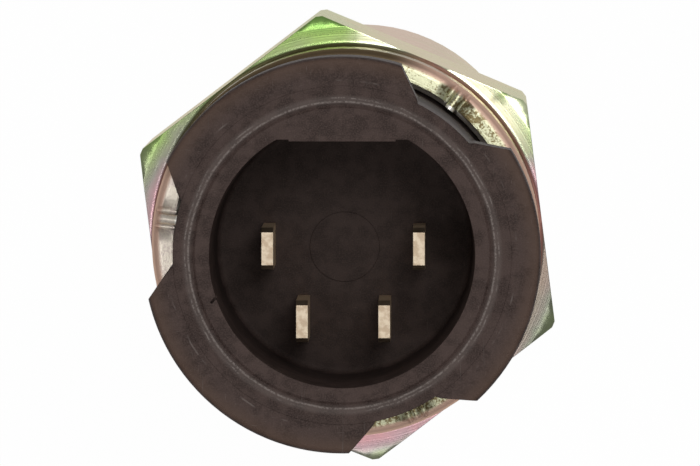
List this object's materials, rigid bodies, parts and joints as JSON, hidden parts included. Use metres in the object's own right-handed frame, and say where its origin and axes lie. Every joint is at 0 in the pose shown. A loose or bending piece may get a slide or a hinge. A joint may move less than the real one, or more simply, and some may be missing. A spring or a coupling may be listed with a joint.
{
  "type": "tachograph speed sensor",
  "caption": "Screw-in speed sensor with a long steel body, a hexagon, a tubular probe and a black bayonet connector with flat blades in a D shaped socket.",
  "frame": {"origin": "on the axis, in the plane of the face that seats on the gearbox", "axes": "+Z along the axis towards the connector, +Y towards the flat of the D shaped socket"},
  "size_m": [0.0286, 0.0306, 0.1235],
  "materials": {
    "zinc": "yellow iridescent chromate over zinc, turned",
    "nylon": "glass-filled nylon, matt with fine specks",
    "tin": "tin plate, satin",
    "rubber": "nitrile rubber, matt",
    "tube_steel": "drawn stainless steel, satin",
    "carrier": "natural glass-filled nylon",
    "magnet": "sintered and ground, satin",
    "iron": "soft iron, ground",
    "chip": "moulded epoxy, matt",
    "lead": "tinned copper",
    "board": "solder mask over glass epoxy",
    "can": "pressed metal can",
    "resistor": "ceramic chip with printed film",
    "capacitor": "fired ceramic",
    "resin": "cast epoxy resin"
  },
  "bodies": {
    "root": {"bias_magnet": "magnet", "chip_leads": "lead", "circuit_board": "board", "connector_body": "nylon", "connector_seal": "rubber", "contact_blade_1": "tin", "contact_blade_2": "tin", "contact_blade_3": "tin", "contact_blade_4": "tin", "crystal": "can", "element_carrier": "carrier", "filter_capacitor": "capacitor", "hall_chip": "chip", "housing": "zinc", "lead_wire_1": "lead", "lead_wire_2": "lead", "lead_wire_3": "lead", "lead_wire_4": "lead", "line_driver": "chip", "microcontroller": "chip", "pole_disc": "iron", "potting": "resin", "protection_diode": "chip", "resistors": "resistor", "seat_seal": "rubber", "sensor_tube": "tube_steel", "small_capacitors": "capacitor", "voltage_regulator": "chip"}
  },
  "joints": []
}
